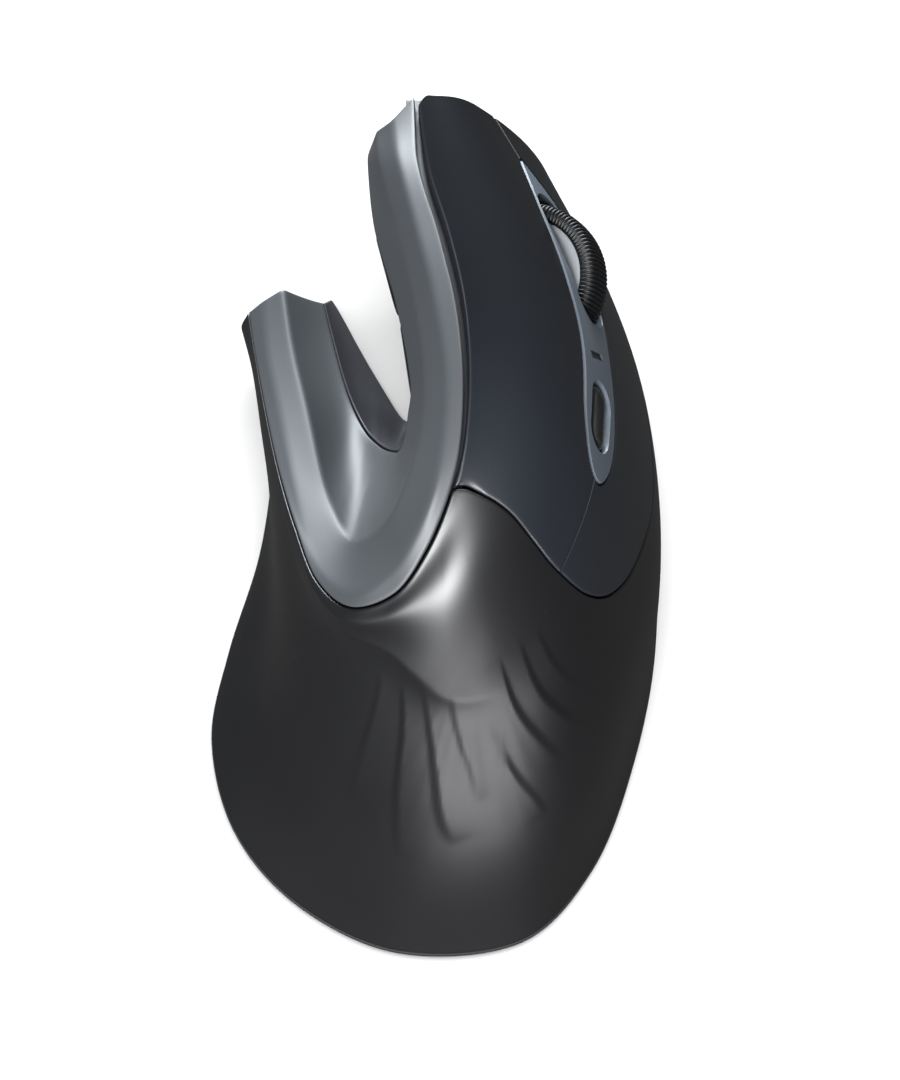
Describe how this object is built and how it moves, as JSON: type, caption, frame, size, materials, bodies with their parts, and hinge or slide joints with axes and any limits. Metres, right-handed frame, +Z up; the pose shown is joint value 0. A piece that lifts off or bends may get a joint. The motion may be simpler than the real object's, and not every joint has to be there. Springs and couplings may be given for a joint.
{
  "type": "computer mouse",
  "caption": "Right-handed vertical mouse: a bent arch with a thumb rest on the left, two finger buttons, a ribbed scroll wheel and an oval button on its right side.",
  "frame": {"origin": "on the desk under the middle of the mouse", "axes": "+Y towards the fingertips, +Z up, the thumb side is -X"},
  "size_m": [0.0683, 0.1186, 0.0644],
  "materials": {
    "palm": "satin moulded plastic",
    "button": "satin moulded plastic",
    "trim": "fine satin",
    "panel": "soft matte coating",
    "wall": "matte",
    "dark": "matte",
    "tyre": "ribbed rubber",
    "silver": "satin paint",
    "gloss": "gloss",
    "light": "smooth",
    "metal": "plated",
    "cell": "printed wrap",
    "board": "laminate",
    "black": "moulded",
    "lens": "clear",
    "foot": "slick"
  },
  "bodies": {
    "case": {"palm_shell": "palm", "centre_trim": "trim", "thumb_panel": "panel", "thumb_wall": "wall", "wing_cap": "wall", "nose_cap": "wall", "base_plate": "dark", "battery_holder": "dark", "battery_cell": "cell", "battery_contact_plus": "metal", "battery_contact_minus": "metal", "battery_spring": "metal", "main_board": "board", "board_screw_1": "metal", "board_screw_2": "metal", "board_screw_3": "metal", "sensor_lens": "lens", "sensor_chip": "black", "power_switch_body": "metal", "receiver_sleeve": "dark", "foot_rear_left": "foot", "foot_rear_right": "foot", "foot_front_right": "foot", "foot_wing": "foot", "foot_sensor_ring": "foot", "wheel_encoder": "black", "wheel_click_switch": "black", "resolution_switch": "black", "resolution_board": "board", "indicator_light": "light", "left_switch": "black", "left_switch_board": "board", "right_switch": "black", "right_switch_board": "board", "control_frame": "dark", "forward_key_switch": "black", "back_key_switch": "black"},
    "left_button": {"left_button": "button"},
    "right_button": {"right_button": "button"},
    "wheel_cradle": {"wheel_cradle": "dark"},
    "scroll_wheel": {"wheel_tyre": "tyre", "wheel_hub": "silver", "wheel_axle": "metal"},
    "resolution_button": {"resolution_button": "gloss"},
    "forward_key": {"forward_key": "gloss"},
    "back_key": {"back_key": "gloss"},
    "power_knob": {"power_switch_knob": "dark"},
    "battery_door": {"battery_door": "dark"},
    "receiver": {"receiver_plug": "metal", "receiver_cap": "dark"}
  },
  "joints": [
    {"name": "left_button_press", "type": "hinge", "parent": "case", "child": "left_button", "pos_m": [0.00912, -0.00874, 0.0577], "axis": [-0.8659, 0.2901, 0.4075], "range_deg": [0, 0.5], "stiffness_Nm_per_rad": 2.5},
    {"name": "right_button_press", "type": "hinge", "parent": "case", "child": "right_button", "pos_m": [0.02478, -0.00871, 0.03641], "axis": [-0.3217, 0.3006, 0.8979], "range_deg": [0, 0.5], "stiffness_Nm_per_rad": 2.5},
    {"name": "wheel_click", "type": "slide", "parent": "case", "child": "wheel_cradle", "axis": [-0.8348, -0.329, -0.4415], "range_m": [0, 0.0004], "stiffness_N_per_m": 2000},
    {"name": "wheel_spin", "type": "hinge", "parent": "wheel_cradle", "child": "scroll_wheel", "pos_m": [0.013, 0.03246, 0.03833], "axis": [0.4379, 0.0895, -0.8946], "continuous": true},
    {"name": "resolution_press", "type": "slide", "parent": "case", "child": "resolution_button", "axis": [-0.8961, -0.0512, -0.4409], "range_m": [0, 0.0004], "stiffness_N_per_m": 1500},
    {"name": "forward_key_press", "type": "slide", "parent": "case", "child": "forward_key", "axis": [0.9595, 0.2487, 0.1321], "range_m": [0, 0.0005], "stiffness_N_per_m": 1500},
    {"name": "back_key_press", "type": "slide", "parent": "case", "child": "back_key", "axis": [0.9874, 0.1462, 0.0604], "range_m": [0, 0.0005], "stiffness_N_per_m": 1500},
    {"name": "power_switch", "type": "slide", "parent": "case", "child": "power_knob", "axis": [1, 0, 0], "range_m": [0, 0.003]},
    {"name": "battery_door_off", "type": "slide", "parent": "case", "child": "battery_door", "axis": [0, 0, -1], "range_m": [0, 0.02]},
    {"name": "receiver_out", "type": "slide", "parent": "case", "child": "receiver", "axis": [0, 0, -1], "range_m": [0, 0.022]}
  ]
}
